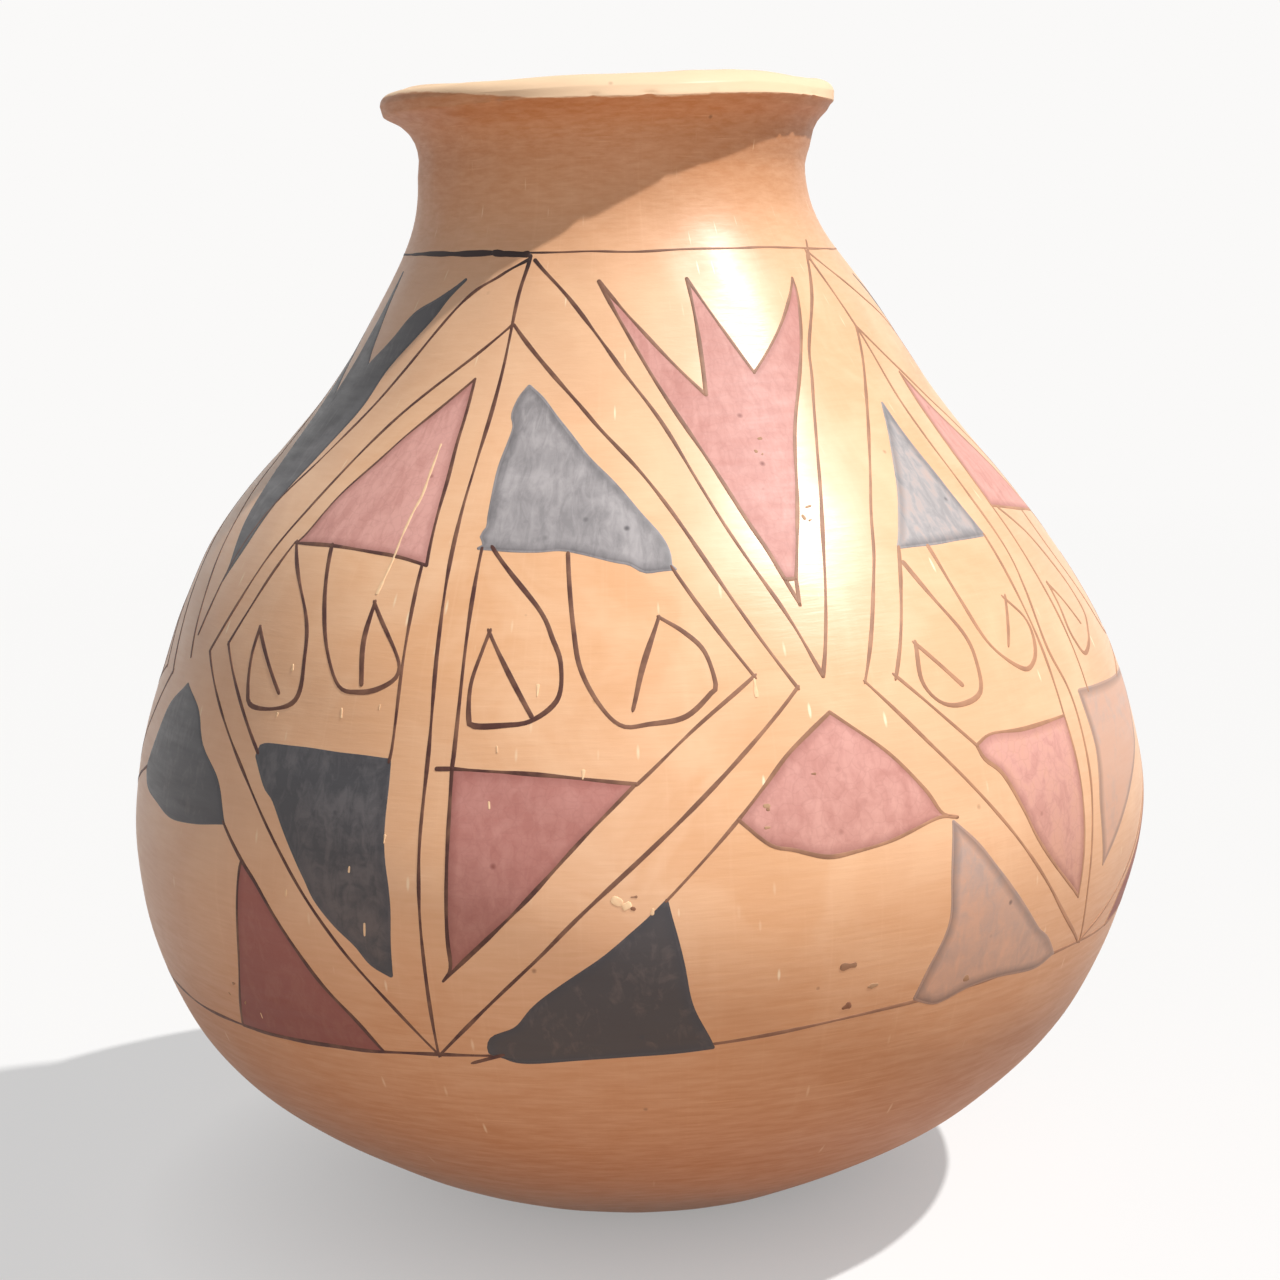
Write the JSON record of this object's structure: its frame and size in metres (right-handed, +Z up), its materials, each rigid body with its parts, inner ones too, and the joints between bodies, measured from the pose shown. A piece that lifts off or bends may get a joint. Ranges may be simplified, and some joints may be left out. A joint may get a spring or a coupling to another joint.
{
  "type": "pottery vase",
  "caption": "Wide-bellied hand-built pottery vase with a drawn-in neck and flared rim, painted with slip in a lozenge pattern, for holding flowers or standing on display.",
  "frame": {"origin": "centre of the flat base, on the surface the vase stands on", "axes": "+Z up along the vase's axis, from the base to the mouth; -Y is the side that faces the camera in the picture"},
  "size_m": [0.2284, 0.2284, 0.25],
  "materials": {
    "burnished_clay": "buff earthenware, burnished to a soft sheen, unglazed",
    "red_slip": "brick-red slip, burnished",
    "black_slip": "grey-black slip, burnished"
  },
  "bodies": {
    "root": {"vase_body": "burnished_clay"}
  },
  "joints": []
}
